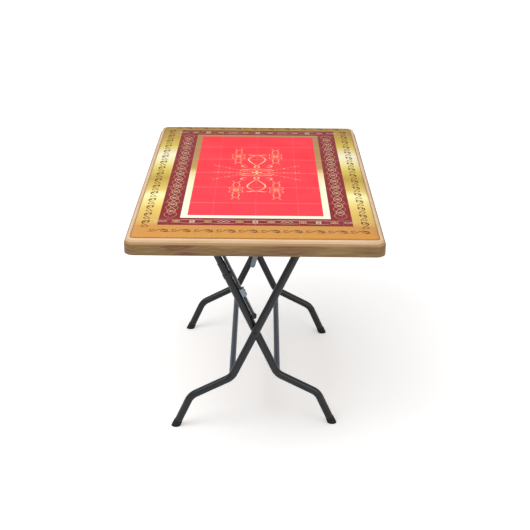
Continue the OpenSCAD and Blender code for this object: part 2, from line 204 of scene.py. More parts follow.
def coatedMaterial(name, dark, light, low, high, grain, strength, metallic=0.0, coat=0.0, specular=0.5):
    material, tree, shader, place = newMaterial(name, metallic=metallic, specular=specular, coat=coat)
    wear = placeGroup(tree, handlingWear, place, Scale=60.0, Low=low, High=high)
    tree.links.new(wear.outputs["Roughness"], shader.inputs["Roughness"])
    tone = mixColour(tree, wear.outputs["Mask"], linearColour(dark), linearColour(light))
    tree.links.new(tone, shader.inputs["Base Color"])
    bump = placeGroup(tree, fineGrain, place, Scale=grain, Strength=strength)
    tree.links.new(bump.outputs["Normal"], shader.inputs["Normal"])
    return material


powderCoat = coatedMaterial("framePowderCoat", "0C0F13", "1A1F26", 0.24, 0.38, 1400.0, 0.12, coat=0.15)
blueCoat = coatedMaterial("stretcherPowderCoat", "323C50", "4A566C", 0.3, 0.48, 1400.0, 0.12, coat=0.15)
footRubber = coatedMaterial("footRubber", "0B0C0D", "1B1D20", 0.6, 0.85, 700.0, 0.35)
platedSteel = coatedMaterial("platedSteel", "707A86", "A2ACB8", 0.28, 0.5, 500.0, 0.08, metallic=0.85)
zincFinish = coatedMaterial("zincHardware", "A8AAAC", "D0D2D4", 0.25, 0.45, 800.0, 0.06, metallic=0.95)
gripPlastic = coatedMaterial("gripPlastic", "8494A6", "A8B8C8", 0.4, 0.6, 1100.0, 0.15)
blackPlastic = coatedMaterial("saddlePlastic", "121416", "23272B", 0.45, 0.65, 1100.0, 0.2)
nylonFinish = coatedMaterial("naturalNylon", "C8C8C0", "E0E0D8", 0.4, 0.55, 1000.0, 0.1)
vineInkFinish = coatedMaterial("vinePrint", "4E1014", "6A2022", 0.34, 0.46, 900.0, 0.05, specular=0.12)
goldInkFinish = coatedMaterial("bandPrint", "B07838", "CC9C58", 0.3, 0.42, 900.0, 0.05, specular=0.15)
creamInkFinish = coatedMaterial("paleBandPrint", "D8BC94", "F0E0C0", 0.3, 0.42, 900.0, 0.05, specular=0.15)
foilInkFinish = coatedMaterial("medallionPrint", "D8B060", "F8E8B4", 0.28, 0.4, 900.0, 0.05, specular=0.15)
print("plain materials made")

# the print on the board: nested borders; the gold border's light and dark bands along Y are painted
# reflection and highlight over the gold print; ribs show through as sunk lines, each with a painted
# highlight

printLook = {
    "shift": 0.012,                     # borders sit this far towards +Y
    "maroonHalf": (0.283, 0.508),
    "creamHalf": (0.2212, 0.447),
    "redHalf": (0.2014, 0.424),
    "ribLinePitch": (0.128, 0.150),
    "ribLineWidth": 0.0022,
    # pale colour of the painted highlight along each line where the ribs show through
    "ribLineHighlight": "FFE8EC",
    "maroon": ("7C1420", "901C2A"),
    "pinstripe": "D8B878",              # fine stripes across the inner border, past stripesFrom
    "stripesFrom": 0.03,
    # colours along the length, each at its own Y: the gold's light and dark bands are painted reflection and
    # highlight over the gold print (FFF4B0 is a painted highlight); the cream runs from bright at the front
    # to brown at the back
    "gold": ((-0.50, "CC9044"), (-0.485, "D0A652"), (-0.36, "E2C264"), (-0.29, "F0DC84"), (-0.23, "FFF4B0"),
             (-0.17, "DCC060"), (-0.06, "BC9C3E"), (0.03, "D8C050"), (0.12, "F0E4A0"), (0.20, "F6EECC"),
             (0.31, "D8C050"), (0.42, "BE9C40"), (0.52, "A88838")),
    "cream": ((-0.45, "FFF8DE"), (-0.10, "FBEFC8"), (0.0, "EBD596"), (0.06, "B48A48"), (0.20, "A87840"),
              (0.42, "9A7038")),
    "red": ((-0.42, "FF3647"), (0.1, "FF3040"), (0.42, "FB2A3C")),
}


def ribLineMask(tree, coordinate, pitch, width):
    folded = mathNode(tree, "ABSOLUTE", mathNode(tree, "WRAP", coordinate, pitch / 2))
    folded.node.inputs[0].links[0].from_node.inputs[2].default_value = -pitch / 2
    return mathNode(tree, "LESS_THAN", folded, width / 2)


def makePrintMaterial():
    material, tree, shader, place = newMaterial("printedSkin", specular=0.12)
    centred = addNode(tree, "ShaderNodeMapping")
    centred.inputs["Location"].default_value = (0, -printLook["shift"], 0)
    tree.links.new(place, centred.inputs["Vector"])
    at = centred.outputs[0]
    split = addNode(tree, "ShaderNodeSeparateXYZ")
    tree.links.new(place, split.inputs[0])
    along = addNode(tree, "ShaderNodeMapRange")
    along.inputs["From Min"].default_value = -skinHalfY
    along.inputs["From Max"].default_value = skinHalfY
    tree.links.new(split.outputs[1], along.inputs["Value"])
    along = along.outputs[0]

    def lengthRamp(key):
        stops = [((y + skinHalfY) / (2 * skinHalfY), linearColour(text)) for y, text in printLook[key]]
        return rampNode(tree, along, stops)

    # the gold ramp is the gold print with painted reflection and highlight bands along the length
    gold = lengthRamp("gold")
    cream = lengthRamp("cream")
    red = lengthRamp("red")
    stripes = mathNode(tree, "SINE", mathNode(tree, "MULTIPLY", split.outputs[1], 900.0))
    striped = mathNode(tree, "GREATER_THAN", split.outputs[1], printLook["stripesFrom"])
    stripes = mathNode(tree, "MULTIPLY", stripes, striped)
    cream = mixColour(tree, mathNode(tree, "MULTIPLY", mathNode(tree, "ABSOLUTE", stripes), 0.35),
                      cream, linearColour(printLook["pinstripe"]))

    masks = [placeGroup(tree, rectMask, at, Half_X=half[0], Half_Y=half[1]).outputs["Mask"]
             for half in (printLook["maroonHalf"], printLook["creamHalf"], printLook["redHalf"])]
    mottled = noiseNode(tree, place, 260.0, 3.0)
    maroon = mixColour(tree, mottled, *(linearColour(text) for text in printLook["maroon"]))
    colour = mixColour(tree, masks[0], gold, maroon)
    colour = mixColour(tree, masks[1], colour, cream)
    colour = mixColour(tree, masks[2], colour, red)

    acrossRibLines = ribLineMask(tree, split.outputs[0], printLook["ribLinePitch"][0], printLook["ribLineWidth"] * 0.6)
    alongRibLines = ribLineMask(tree, split.outputs[1], printLook["ribLinePitch"][1], printLook["ribLineWidth"])
    ribLinesAndHighlight = mathNode(tree, "MAXIMUM", mathNode(tree, "MULTIPLY", acrossRibLines, 0.35), alongRibLines)
    # the rib lines are painted lighter, a painted highlight along each sink mark; the same lines are sunk by
    # the bump below
    colour = mixColour(tree, mathNode(tree, "MULTIPLY", ribLinesAndHighlight, 0.28), colour,
                       linearColour(printLook["ribLineHighlight"]))
    tree.links.new(colour, shader.inputs["Base Color"])

    wear = placeGroup(tree, handlingWear, place, Scale=9.0, Low=0.30, High=0.44)
    tree.links.new(wear.outputs["Roughness"], shader.inputs["Roughness"])
    sink = addNode(tree, "ShaderNodeBump")
    sink.inputs["Strength"].default_value = 0.25
    sink.inputs["Distance"].default_value = 0.0004
    texture = noiseNode(tree, place, 1200.0, 2.0)
    sunk = mathNode(tree, "MULTIPLY", ribLinesAndHighlight, -1.0)
    height = mathNode(tree, "ADD", sunk, mathNode(tree, "MULTIPLY", texture, 0.12))
    tree.links.new(height, sink.inputs["Height"])
    tree.links.new(sink.outputs[0], shader.inputs["Normal"])
    return material


woodLook = {
    "pale": "F2D8B8", "mid": "B88858", "olive": "8E7446", "red": "7A5038", "line": "5C3E28",
    "brown": "8C6C48", "sand": "A0845A", "streak": "B89468",
    "step": "B48C62", "beadEdge": "D2A878",
    "skirtTop": 0.7276, "stepTop": 0.7335,    # above these heights the moulding is tan, then pale; the pale of the top is partly a painted highlight
}


def makeWoodMaterial():
    material, tree, shader, place = newMaterial("woodGrainMoulding", specular=0.35)
    split = addNode(tree, "ShaderNodeSeparateXYZ")
    tree.links.new(place, split.inputs[0])
    stretched = addNode(tree, "ShaderNodeMapping")
    stretched.inputs["Scale"].default_value = (1.0, 1.0, 5.0)
    tree.links.new(place, stretched.inputs["Vector"])
    blotch = noiseNode(tree, stretched.outputs[0], 7.0, 2.0)
    tones = ((0.36, "red"), (0.46, "brown"), (0.56, "olive"), (0.68, "sand"))
    base = rampNode(tree, blotch, [(at, linearColour(woodLook[tone])) for at, tone in tones])
    wave = addNode(tree, "ShaderNodeTexWave", wave_type="BANDS", bands_direction="Z")
    wave.inputs["Scale"].default_value = 26.0
    wave.inputs["Distortion"].default_value = 9.0
    wave.inputs["Detail"].default_value = 3.0
    wave.inputs["Detail Scale"].default_value = 0.6
    tree.links.new(place, wave.inputs["Vector"])
    streak = rampNode(tree, wave.outputs["Fac"],
                      [(0.0, (0, 0, 0, 1)), (0.82, (0, 0, 0, 1)), (1.0, (1, 1, 1, 1))])
    base = mixColour(tree, mathNode(tree, "MULTIPLY", streak, 0.35), base,
                     linearColour(woodLook["streak"]))
    fibres = addNode(tree, "ShaderNodeMapping")
    fibres.inputs["Scale"].default_value = (12.0, 12.0, 260.0)
    tree.links.new(place, fibres.inputs["Vector"])
    fibre = noiseNode(tree, fibres.outputs[0], 2.0, 3.0)
    base = mixColour(tree, mathNode(tree, "MULTIPLY", fibre, 0.3), base, linearColour(woodLook["line"]))
    upper = mathNode(tree, "GREATER_THAN", split.outputs[2], woodLook["skirtTop"])
    # above stepTop the moulding is painted pale: partly its lighter tone, partly a painted highlight where
    # light falls on the top
    bead = mathNode(tree, "GREATER_THAN", split.outputs[2], woodLook["stepTop"])
    tan = mixColour(tree, blotch, linearColour(woodLook["beadEdge"]), linearColour(woodLook["pale"]))
    tan = mixColour(tree, bead, linearColour(woodLook["step"]), tan)
    tan = mixColour(tree, mathNode(tree, "MULTIPLY", fibre, 0.3), tan, linearColour(woodLook["mid"]))
    colour = mixColour(tree, upper, base, tan)
    tree.links.new(colour, shader.inputs["Base Color"])
    wear = placeGroup(tree, handlingWear, place, Scale=16.0, Low=0.34, High=0.5)
    tree.links.new(wear.outputs["Roughness"], shader.inputs["Roughness"])
    bump = addNode(tree, "ShaderNodeBump")
    bump.inputs["Strength"].default_value = 0.2
    bump.inputs["Distance"].default_value = 0.0004
    tree.links.new(fibre, bump.inputs["Height"])
    tree.links.new(bump.outputs[0], shader.inputs["Normal"])
    return material


printFinish = makePrintMaterial()
woodFinish = makeWoodMaterial()
print("print and wood-grain materials made")


# modelling helpers
def clearSelection():
    if bpy.context.object and bpy.context.object.mode != "OBJECT":
        bpy.ops.object.mode_set(mode="OBJECT")
    bpy.ops.object.select_all(action="DESELECT")


def pick(*pieces):
    clearSelection()
    for piece in pieces:
        piece.select_set(True)
    bpy.context.view_layer.objects.active = pieces[0]


def applyModifiers(piece):
    pick(piece)
    for modifier in list(piece.modifiers):
        bpy.ops.object.modifier_apply(modifier=modifier.name)


def settle(piece, name, finish, body, smooth=35):
    pick(piece)
    bpy.ops.object.transform_apply(location=True, rotation=True, scale=True)
    piece.name = name
    piece.data.name = name
    piece.data.materials.clear()
    piece.data.materials.append(finish)
    bpy.ops.object.shade_smooth_by_angle(angle=math.radians(smooth))
    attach(piece, body)
    return piece


def joinPieces(pieces):
    pick(*pieces)
    bpy.ops.object.join()
    return bpy.context.object


def roundedLoop(halfX, halfY, radius, height, segments=8):
    points = []
    for quarter, (signX, signY) in enumerate(((1, 1), (-1, 1), (-1, -1), (1, -1))):
        for i in range(segments + 1):
            angle = math.pi / 2 * (quarter + i / segments)
            points.append((signX * (halfX - radius) + radius * math.cos(angle),
                           signY * (halfY - radius) + radius * math.sin(angle), height))
    return points


def loftedSheet(halfX, halfY, corner, profile):
    # profile is (inset, height), from the underside out round the edge and in over the top
    loops = [roundedLoop(halfX - inset, halfY - inset, max(corner - inset, 0.0006), height)
             for inset, height in profile]
    count = len(loops[0])
    vertices = [point for loop in loops for point in loop]
    faces = [tuple(reversed(range(count)))]
    for k in range(len(loops) - 1):
        for i in range(count):
            j = (i + 1) % count
            faces.append((k * count + i, k * count + j, (k + 1) * count + j, (k + 1) * count + i))
    faces.append(tuple(range((len(loops) - 1) * count, len(loops) * count)))
    mesh = bpy.data.meshes.new("sheet")
    mesh.from_pydata(vertices, [], faces)
    piece = bpy.data.objects.new("sheet", mesh)
    bpy.context.scene.collection.objects.link(piece)
    return piece


# the board: moulded rim with bead and step, hollow under, with ribs

rimSize = {
    "corner": 0.030,
    "wall": 0.004,
    "ribX": 0.064,
    "ribY": 0.075,
    "ribThick": 0.003,
    "plateUnder": 0.003,
    "beadAt": (0.0130, 0.7352),
    "beadSize": (0.0066, 0.0078),
}
skinRoll = {"corner": 0.0098, "edge": 0.7426, "width": 0.024, "drop": 0.0070, "steps": 9}


def rimOutline():
    low = boardBox[0][2]
    ceiling = skinBox[0][2] - rimSize["plateUnder"]
    wall = rimSize["wall"]
    outline = [(wall + 0.007, ceiling), (wall + 0.0068, ceiling - 0.010), (wall + 0.0008, low + 0.028),
               (wall, low + 0.001), (wall - 0.0008, low), (0.0010, low), (0.0003, low + 0.0004),
               (0.0, low + 0.0012)]
    outline += [(0.0, 0.7262), (0.0006, 0.7272), (0.0024, 0.7277), (0.0028, 0.7282), (0.0028, 0.7302),
                (0.0034, 0.7309), (0.0050, 0.7313), (0.0054, 0.7318), (0.0054, 0.7342), (0.0058, 0.7349)]
    for i in range(11):
        angle = math.radians(16 * i)
        outline.append((rimSize["beadAt"][0] - rimSize["beadSize"][0] * math.cos(angle),
                        rimSize["beadAt"][1] + rimSize["beadSize"][1] * math.sin(angle)))
    outline += [(0.0196, 0.7374), (0.0200, 0.7374), (0.0200, skinRoll["edge"] - 0.0002)]
    return outline


def skinOutline():
    roll = skinRoll
    outline = [(0.0, skinBox[0][2] + 0.0001), (0.0, roll["edge"])]
    for i in range(1, roll["steps"] + 1):
        angle = math.radians(90 * i / roll["steps"])
        outline.append((roll["width"] * (1 - math.cos(angle)),
                        roll["edge"] + roll["drop"] * math.sin(angle)))
    return outline


def makeRibs():
    low = skinBox[0][2] - 0.022
    high = skinBox[0][2] - 0.0032
    reachX = boardHalfX - 0.011
    reachY = boardHalfY - 0.011
    made = []
    for halfX, halfY, count, pitch, axis in (
            (rimSize["ribThick"] / 2, reachY, 11, rimSize["ribX"], 0),
            (reachX, rimSize["ribThick"] / 2, 15, rimSize["ribY"], 1)):
        start = -(count - 1) / 2 * pitch
        place = (start, 0, (low + high) / 2) if axis == 0 else (0, start, (low + high) / 2)
        clearSelection()
        bpy.ops.mesh.primitive_cube_add(size=1, location=place)
        rib = bpy.context.object
        rib.scale = (2 * halfX, 2 * halfY, high - low)
        bpy.ops.object.transform_apply(location=True, rotation=True, scale=True)
        row = rib.modifiers.new("row", "ARRAY")
        row.count = count
        row.use_relative_offset = False
        row.use_constant_offset = True
        row.constant_offset_displace = (pitch, 0, 0) if axis == 0 else (0, pitch, 0)
        rounding = rib.modifiers.new("rounding", "BEVEL")
        rounding.width = 0.0006
        rounding.segments = 2
        applyModifiers(rib)
        made.append(rib)
    return made


def makeBoard():
    shell = loftedSheet(boardHalfX, boardHalfY, rimSize["corner"], rimOutline())
    moulding = joinPieces([shell, *makeRibs()])
    settle(moulding, "boardMoulding", woodFinish, "board", 40)
    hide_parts("top_shell")
    skin = loftedSheet(skinHalfX, skinHalfY, skinRoll["corner"], skinOutline())
    settle(skin, "printedSkinSheet", printFinish, "board", 30)
    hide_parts("printed_panel")
    print("board made")


makeBoard()

# printed ornament: thin raised lines laid on the skin

inkSize = {"flat": 0.12}


def inkPiece(name, strokes, finish):
    # a stroke is (points, half width), or (points, list of half widths), in the board's plane
    curve = bpy.data.curves.new(name, "CURVE")
    curve.dimensions = "3D"
    curve.bevel_depth = 1.0
    curve.bevel_resolution = 0
    curve.use_fill_caps = True
    for points, width in strokes:
        spline = curve.splines.new("POLY")
        spline.points.add(len(points) - 1)
        for i, (point, (x, y)) in enumerate(zip(spline.points, points)):
            point.co = (x, y, 0, 1)
            point.radius = width[i] if isinstance(width, list) else width
    piece = bpy.data.objects.new(name, curve)
    bpy.context.scene.collection.objects.link(piece)
    pick(piece)
    bpy.ops.object.convert(target="MESH")
    piece = bpy.context.object
    piece.scale = (1, 1, inkSize["flat"])
    piece.location = (0, 0, faceTop - 0.0003)
    return settle(piece, name, finish, "board", 60)


def spiral(cx, cy, startRadius, endRadius, startAngle, turn, count=16, squash=1.0):
    points = []
    for i in range(count + 1):
        t = i / count
        r = startRadius + (endRadius - startRadius) * t
        a = math.radians(startAngle + turn * t)
        points.append((cx + r * math.cos(a), cy + squash * r * math.sin(a)))
    return points


def tapered(points, widest):
    last = len(points) - 1
    return (points, [widest * (0.25 + 0.75 * math.sin(math.pi * i / last)) for i in range(last + 1)])


def moved(points, dx, dy, angle=0.0, flipY=False, flipX=False):
    c, s = math.cos(angle), math.sin(angle)
    result = []
    for x, y in points:
        x = -x if flipX else x
        y = -y if flipY else y
        result.append((dx + c * x - s * y, dy + s * x + c * y))
    return result


vine = {"pitch": 0.064, "line": 0.0019, "sideX": 0.3185, "frontY": -0.541, "backY": 0.551}


def vineUnit():
    pitch = vine["pitch"]
    line = vine["line"]
    climb = [(-pitch / 2, -0.0065), (-0.024, -0.0100), (-0.015, -0.0085), (-0.007, -0.0020), (0.001, 0.0055),
             (0.010, 0.0095), (0.019, 0.0090), (0.026, 0.0045), (0.0275, -0.0015), (0.023, -0.0065),
             (0.0155, -0.0085), (0.009, -0.0055), (0.0085, -0.0010), (0.013, 0.0015)]
    follow = [(0.0155, -0.0085), (0.022, -0.0105), (pitch / 2, -0.0065)]
    smallCurl = [(-0.013, -0.0070), (-0.0205, -0.0030), (-0.0235, 0.0025), (-0.0205, 0.0075),
                 (-0.0145, 0.0085), (-0.0110, 0.0050), (-0.0135, 0.0020)]
    leaf = [(0.0105, 0.0035), (0.0150, 0.0045), (0.0195, 0.0030), (0.0215, -0.0005)]
    return [tapered(climb, line), (follow, [line * 0.8, line, line * 0.5]), tapered(smallCurl, line * 0.9),
            tapered(leaf, line * 1.3)]


def runOf(unit, start, end, pitch, flip=False):
    length = math.hypot(end[0] - start[0], end[1] - start[1])
    count = max(1, round(length / pitch))
    angle = math.atan2(end[1] - start[1], end[0] - start[0])
    strokes = []
    for i in range(count):
        t = (i + 0.5) / count
        x = start[0] + (end[0] - start[0]) * t
        y = start[1] + (end[1] - start[1]) * t
        for points, width in unit:
            strokes.append((moved(points, x, y, angle, flipY=flip), width))
    return strokes


def makeVine():
    x = vine["sideX"]
    near = vine["frontY"]
    far = vine["backY"]
    unit = vineUnit()
    strokes = runOf(unit, (-x + 0.01, near), (x + 0.01, near), vine["pitch"])
    strokes += runOf(unit, (-x, near + 0.02), (-x, far - 0.03), vine["pitch"])
    strokes += runOf(unit, (x, near + 0.02), (x, far - 0.03), vine["pitch"], flip=True)
    strokes += runOf(unit, (-x + 0.01, far), (x - 0.01, far), vine["pitch"])
    inkPiece("vineScroll", strokes, vineInkFinish)


band = {
    "line": 0.0010,
    "sideAmp": 0.0185, "sideKnot": 0.060,      # two waves cross every 60 mm along the sides
    "innerShare": 0.66,                        # height of the pale inner waves against the gold ones
    "sideGap": 0.055, "endGap": 0.020,         # how much shorter each chain is than its band
    "endAmp": 0.0125, "endKnot": 0.092,
}


def lensChain(length, amp, knot, squareness=1.0, steps=24):
    # two mirrored waves that cross at every knot
    count = max(1, round(length / knot))
    points = []
    for i in range(count * steps + 1):
        swing = math.sin(math.pi * i / steps)
        points.append((length * (i / (count * steps) - 0.5),
                       amp * math.copysign(abs(swing) ** squareness, swing)))
    return [points, [(x, -y) for x, y in points]], count


def makeSideBand(side, midX, length, gold, pale):
    shift = printLook["shift"]
    line = band["line"]
    chain, count = lensChain(length, band["sideAmp"], band["sideKnot"], 0.8)
    half = length / count / 2
    for points in chain:
        gold.append((moved(points, side * midX, shift, math.pi / 2), line))
    inner = lensChain(length - 2 * half, band["sideAmp"] * band["innerShare"], band["sideKnot"])[0]
    for points in inner:
        pale.append((moved(points, side * midX, shift, math.pi / 2), line * 0.7))
    for i in range(1, count):
        y = shift - length / 2 + 2 * i * half
        knot = [(0, -0.0075), (0.0055, 0), (0, 0.0075), (-0.0055, 0), (0, -0.0075)]
        pale.append((moved(knot, side * midX, y), line * 1.3))


def makeEndBand(end, midY, length, gold, pale):
    y = printLook["shift"] + end * midY
    line = band["line"]
    amp = band["endAmp"]
    pitch = band["endKnot"]
    count = int(length / pitch)
    length = count * pitch
    for i in range(count + 1):
        x = -length / 2 + i * pitch
        for lean in (-1, 1):
            cross = [(x - 0.016, y - lean * amp), (x - 0.009, y - lean * amp * 0.75), (x, y),
                     (x + 0.009, y + lean * amp * 0.75), (x + 0.016, y + lean * amp)]
            gold.append((cross, [line * w for w in (0.8, 1.5, 2.4, 1.5, 0.8)]))
            brow = [(x - 0.011, y + lean * 0.0035), (x, y + lean * 0.0095), (x + 0.011, y + lean * 0.0035)]
            pale.append((brow, line * 1.1))
            if i < count:
                arc = []
                for step in range(9):
                    t = step / 8
                    arc.append((x + 0.016 + (pitch - 0.032) * t,
                                y + lean * (amp + 0.002 * math.sin(math.pi * t))))
                pale.append((arc, line * 0.8))
    for i in range(-1, count + 1):
        x = -length / 2 + (i + 0.5) * pitch
        if i % 2 == 0:
            for up in (-1, 1):
                pale.append((spiral(x, y + up * 0.0050, 0.0070, 0.0070, 0, 360, 14, 0.68), line * 1.4))
        else:
            for lean in (-1, 1):
                loop = [(x - 0.018, y), (x - 0.009, y + lean * 0.008), (x, y + lean * 0.002),
                        (x + 0.009, y - lean * 0.008), (x + 0.018, y)]
                pale.append((loop, line * 0.9))


def makeBands():
    midX = (printLook["maroonHalf"][0] + printLook["creamHalf"][0]) / 2
    midY = (printLook["maroonHalf"][1] + printLook["creamHalf"][1]) / 2
    gold, pale = [], []
    for side in (-1, 1):
        makeSideBand(side, midX, 2 * midY - band["sideGap"], gold, pale)
        makeEndBand(side, midY, 2 * midX - band["endGap"], gold, pale)
    inkPiece("borderChainGold", gold, goldInkFinish)
    inkPiece("borderChainPale", pale, creamInkFinish)


medal = {
    "line": 0.0015,
    "loopNear": 0.074, "loopFar": 0.192, "loopWide": 0.027,
    "cornerX": 0.064, "cornerY": 0.182, "cornerLine": 0.62,
    "rayReach": 0.140, "rayRises": (-0.075, 0.0, 0.075), "rayDots": 9,
}


def pearLoop():
    near, far, wide = medal["loopNear"], medal["loopFar"], medal["loopWide"]
    half = []
    for i in range(15):
        t = i / 14
        half.append((wide * math.sin(math.pi * t ** 1.35) ** 0.9 + 0.002, near + (far - near) * t))
    return half


def cornerOrnament():
    rings = [spiral(0, 0, 0.0075, 0.0075, 90, 360, 16, 2.4), spiral(0, 0, 0.0035, 0.0035, 90, 360, 12, 2.2)]
    for up in (-1, 1):
        rings.append(spiral(0, up * 0.052, 0.011, 0.011, -up * 60, up * 300, 18, 1.9))
        for side in (-1, 1):
            rings.append([(side * 0.006, up * 0.074), (side * 0.010, up * 0.084),
                          (side * 0.013, up * 0.090)])
            rings.append([(side * 0.006, up * 0.008), (side * 0.014, up * 0.010), (side * 0.020, up * 0.006),
                          (side * 0.022, up * 0.018), (side * 0.019, up * 0.026)])
            rings.append([(side * 0.007, up * 0.020), (side * 0.012, up * 0.030),
                          (side * 0.016, up * 0.028)])
    return rings


def makeMedallion():
    line = medal["line"]
    strokes = []
    for up in (False, True):
        for side in (False, True):
            strokes.append(tapered(moved(pearLoop(), 0, 0, flipY=up, flipX=side), line * 1.5))
            curl = spiral(0.038, 0.069, 0.013, 0.012, 100, -230, 12, 0.9)
            strokes.append(tapered(moved(curl, 0, 0, flipY=up, flipX=side), line * 1.6))
            bar = [(0.002, 0.030), (0.014, 0.036), (0.026, 0.034), (0.038, 0.030), (0.050, 0.031)]
            barWidths = [line * w for w in (0.8, 1.0, 0.7, 1.6, 2.2)]
            strokes.append((moved(bar, 0, 0, flipY=up, flipX=side), barWidths))
            crest = [(0.0, 0.197), (0.012, 0.194), (0.022, 0.199), (0.033, 0.198)]
            strokes.append(tapered(moved(crest, 0, 0, flipY=up, flipX=side), line * 2.0))
            knot = [(0.001, 0.044), (0.008, 0.055), (0.006, 0.068), (0.0, 0.074)]
            strokes.append(tapered(moved(knot, 0, 0, flipY=up, flipX=side), line * 1.6))
            inner = spiral(0.010, 0.008, 0.012, 0.004, 60, 330, 14, 1.5)
            strokes.append(tapered(moved(inner, 0, 0, flipY=up, flipX=side), line * 1.3))
            sweep = [(0.016, 0.014), (0.026, 0.018), (0.038, 0.014), (0.050, 0.012)]
            strokes.append(tapered(moved(sweep, 0, 0, flipY=up, flipX=side), line * 1.2))
            for ring in cornerOrnament():
                cornerX = -medal["cornerX"] if side else medal["cornerX"]
                cornerY = -medal["cornerY"] if up else medal["cornerY"]
                strokes.append((moved(ring, cornerX, cornerY), line * medal["cornerLine"]))
    for side in (-1, 1):
        for rise in medal["rayRises"]:
            slope = side * rise / medal["rayReach"]
            for i in range(medal["rayDots"]):
                t = 0.30 + 0.70 * i / (medal["rayDots"] - 1)
                x = side * medal["rayReach"] * t
                y = rise * (t - 0.12) / 0.88
                reach = 0.0048 if i % 3 else 0.0030
                dash = [(x - reach, y - slope * reach), (x, y), (x + reach, y + slope * reach)]
                strokes.append(tapered(dash, line * (1.5 if i % 3 == 1 else 0.9)))
    strokes = [(moved(points, 0, printLook["shift"] * 0.5), width) for points, width in strokes]
    inkPiece("centreMedallion", strokes, foilInkFinish)


makeVine()
makeBands()
makeMedallion()
print("printed ornament made")

# leg frames: smooth bent tubes on the centre lines of the frame that they replace

leg = {
    "radius": 0.0125, "lean": 25.0, "crossZ": 0.336, "below": 0.172,
    "outerX": 0.206, "outerZ": 0.110, "footLean": 24.4, "bend": 0.055,
    "barZ": 0.702, "elbow": 0.040, "outerY": 0.360, "innerY": 0.333,
    "headFrom": 0.566, "endZ": 0.008,
}


def fillet(a, b, c, radius, steps=10):
    a, b, c = Vector(a), Vector(b), Vector(c)
    u = (b - a).normalized()
    v = (c - b).normalized()
    angle = u.angle(v)
    reach = radius * math.tan(angle / 2)
    centre = b + (v - u).normalized() * (radius / math.cos(angle / 2))
    start = b - u * reach - centre
    axis = u.cross(v).normalized()
    return [centre + Matrix.Rotation(angle * i / steps, 3, axis) @ start for i in range(steps + 1)]


def tubePiece(name, points, body):
    curve = bpy.data.curves.new(name, "CURVE")
    curve.dimensions = "3D"
    curve.bevel_depth = leg["radius"]
    curve.bevel_resolution = 8
    curve.use_fill_caps = True
    spline = curve.splines.new("POLY")
    spline.points.add(len(points) - 1)
    for point, place in zip(spline.points, points):
        point.co = (*place, 1)
    piece = bpy.data.objects.new(name, curve)
    bpy.context.scene.collection.objects.link(piece)
    pick(piece)
    bpy.ops.object.convert(target="MESH")
    piece = bpy.context.object
    return settle(piece, name, powderCoat, body, 40)


def legPoints(sideX, y, sTop):
    # sideX is the side that the leg's foot stands on
    lean = math.radians(leg["lean"])
    footX = leg["outerX"] + (leg["outerZ"] - leg["endZ"]) * math.tan(math.radians(leg["footLean"]))
    foot = (sideX * footX, y, leg["endZ"])
    outer = (sideX * leg["outerX"], y, leg["outerZ"])
    inner = (sideX * leg["below"] * math.sin(lean), y, leg["crossZ"] - leg["below"] * math.cos(lean))
    top = (-sideX * sTop * math.sin(lean), y, leg["crossZ"] + sTop * math.cos(lean))
    points = [Vector(foot)]
    points += fillet(foot, outer, inner, leg["bend"])
    points += fillet(outer, inner, top, leg["bend"])
    return points, Vector(top), inner


def makeLegs():
    lean = math.radians(leg["lean"])
    barS = (leg["barZ"] - leg["crossZ"]) / math.cos(lean)
    headS = (leg["headFrom"] - leg["crossZ"]) / math.cos(lean)
    for side, word in ((-1, "front"), (1, "back")):
        y = side * leg["outerY"]
        points, bar, inner = legPoints(-1, y, barS)
        points += fillet(inner, bar, bar - Vector((0, side * 0.2, 0)), leg["elbow"], 12)
        outerLeg = tubePiece("outerLegTube_" + word, points, "outer_frame")
        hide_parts("outer_leg_" + word)
        y = side * leg["innerY"]
        points, top, inner = legPoints(1, y, headS)
        points.append(top)
        innerLeg = tubePiece("innerLegTube_" + word, points, "inner_frame")
        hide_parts("inner_leg_" + word)
    print("leg tubes made")


makeLegs()

# rubber foot caps, each with a moulded ring

cap = {"radius": 0.0140, "length": 0.018, "rings": 1}


def makeFootCap(name, x, y, lean):
    clearSelection()
    bpy.ops.mesh.primitive_circle_add(vertices=40, radius=cap["radius"] * 0.98, fill_type="NGON",
                                      location=(0, 0, 0))
    piece = bpy.context.object
    bpy.ops.object.mode_set(mode="EDIT")
    bpy.ops.mesh.select_all(action="SELECT")
    rise = cap["length"] / (cap["rings"] * 3 + 2)
    steps = [(rise * 1.4, 1.02)]
    for ring in range(cap["rings"]):
        steps += [(rise * 1.2, 1.0), (rise * 0.25, 0.955), (rise * 1.1, 1.0), (rise * 0.25, 1 / 0.955)]
    steps += [(rise * 1.2, 0.97), (rise * 0.5, 0.93), (rise * 0.3, 0.92)]
    for lift, scale in steps:
        bpy.ops.mesh.extrude_region_move(TRANSFORM_OT_translate={"value": (0, 0, lift)})
        bpy.ops.transform.resize(value=(scale, scale, 1), center_override=(0, 0, 0))
    bpy.ops.mesh.select_all(action="SELECT")
    bpy.ops.mesh.normals_make_consistent(inside=False)
    bpy.ops.object.mode_set(mode="OBJECT")
    for vertex in piece.data.vertices:
        if vertex.co.z < 1e-5:
            vertex.co.z = -cap["radius"]
    piece.rotation_euler = (0, lean, 0)
    piece.location = (x, y, 0)
    pick(piece)
    bpy.ops.object.transform_apply(location=True, rotation=True, scale=True)
    bpy.ops.object.mode_set(mode="EDIT")
    bpy.ops.mesh.select_all(action="SELECT")
    bpy.ops.mesh.bisect(plane_co=(0, 0, 0), plane_no=(0, 0, 1), use_fill=True, clear_inner=True)
    bpy.ops.object.mode_set(mode="OBJECT")
    piece.name = name
    return piece


